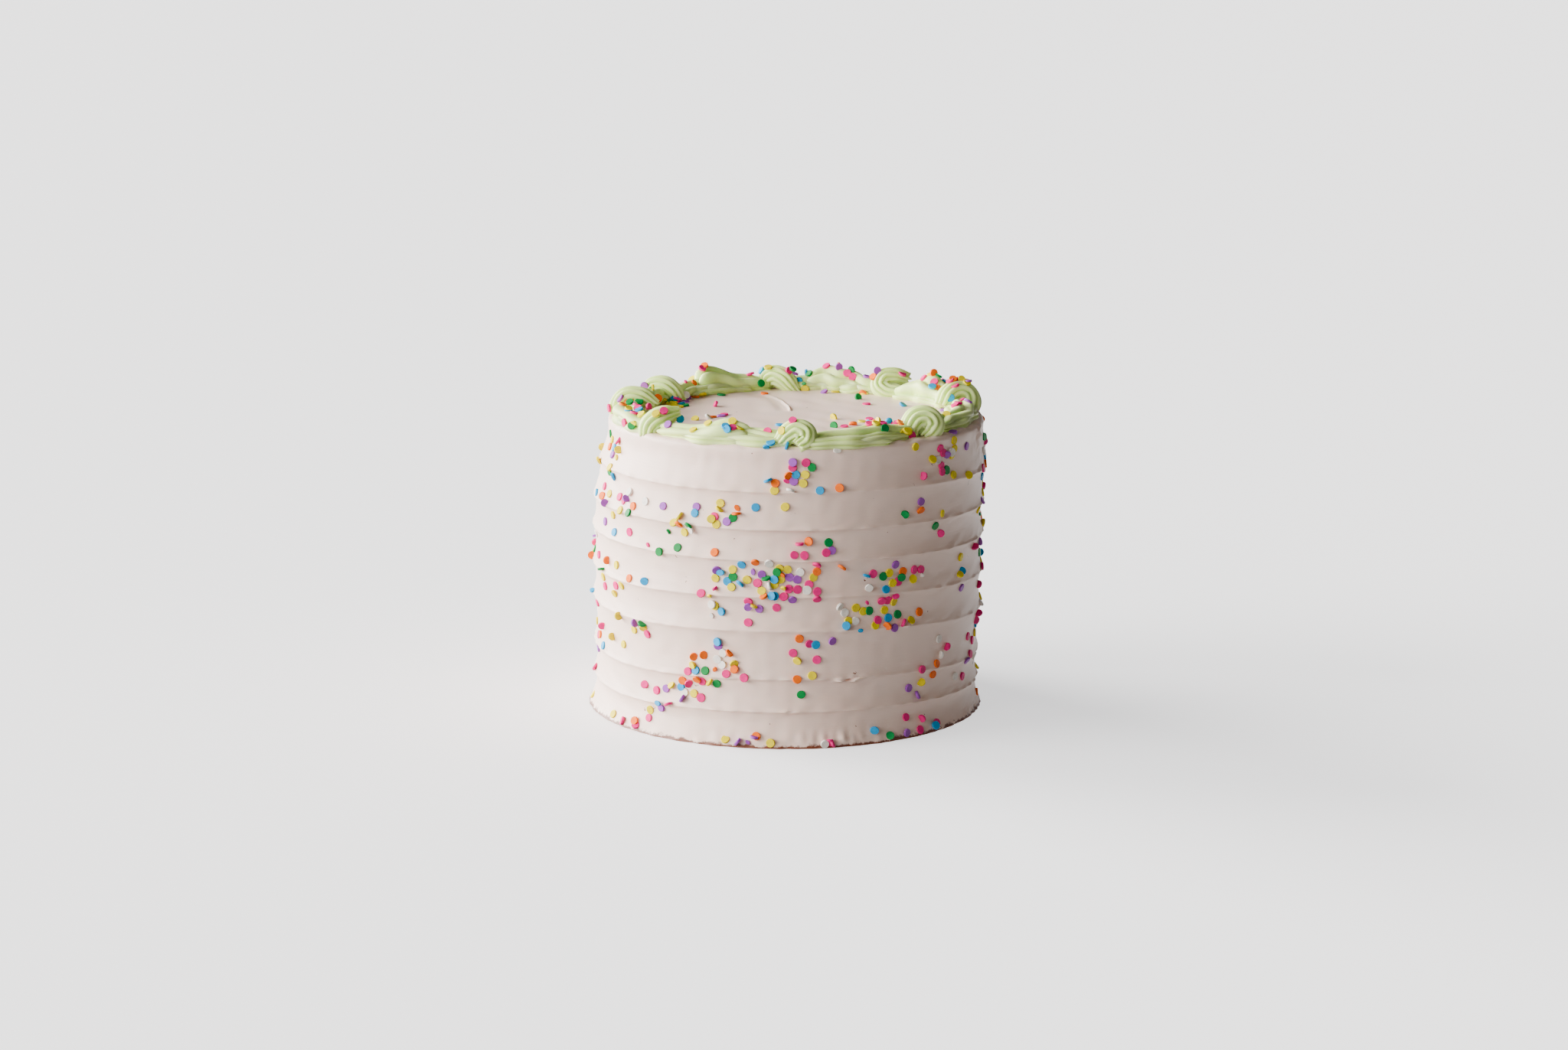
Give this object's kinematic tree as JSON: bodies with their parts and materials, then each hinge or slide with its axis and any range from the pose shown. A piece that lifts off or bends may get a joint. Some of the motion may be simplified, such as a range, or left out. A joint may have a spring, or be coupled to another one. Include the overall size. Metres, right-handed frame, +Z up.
{
  "type": "confetti cake",
  "caption": "Tall round iced cake, uncut, with a spiral of spatula bands round its side, a piped border of swirls and strokes, and confetti sprinkles.",
  "frame": {"origin": "middle of the base, on the flat face that the cake rests on", "axes": "+Z up; -Y is the side that the picture shows, +X to its right"},
  "size_m": [0.211, 0.2105, 0.1714],
  "materials": {
    "ivory_icing": "satin",
    "pistachio_icing": "satin",
    "pink_sprinkle": "satin",
    "yellow_sprinkle": "satin",
    "orange_sprinkle": "satin",
    "blue_sprinkle": "satin",
    "green_sprinkle": "satin",
    "purple_sprinkle": "satin",
    "white_sprinkle": "satin"
  },
  "bodies": {
    "root": {"cake": "ivory_icing", "border_swirl_1": "pistachio_icing", "border_swirl_2": "pistachio_icing", "border_swirl_3": "pistachio_icing", "border_swirl_4": "pistachio_icing", "border_swirl_5": "pistachio_icing", "border_swirl_6": "pistachio_icing", "border_swirl_7": "pistachio_icing", "border_swirl_8": "pistachio_icing", "border_stroke_1": "pistachio_icing", "border_stroke_2": "pistachio_icing", "border_stroke_3": "pistachio_icing", "border_stroke_4": "pistachio_icing", "border_stroke_5": "pistachio_icing", "border_stroke_6": "pistachio_icing", "border_stroke_7": "pistachio_icing", "border_stroke_8": "pistachio_icing"}
  },
  "joints": []
}
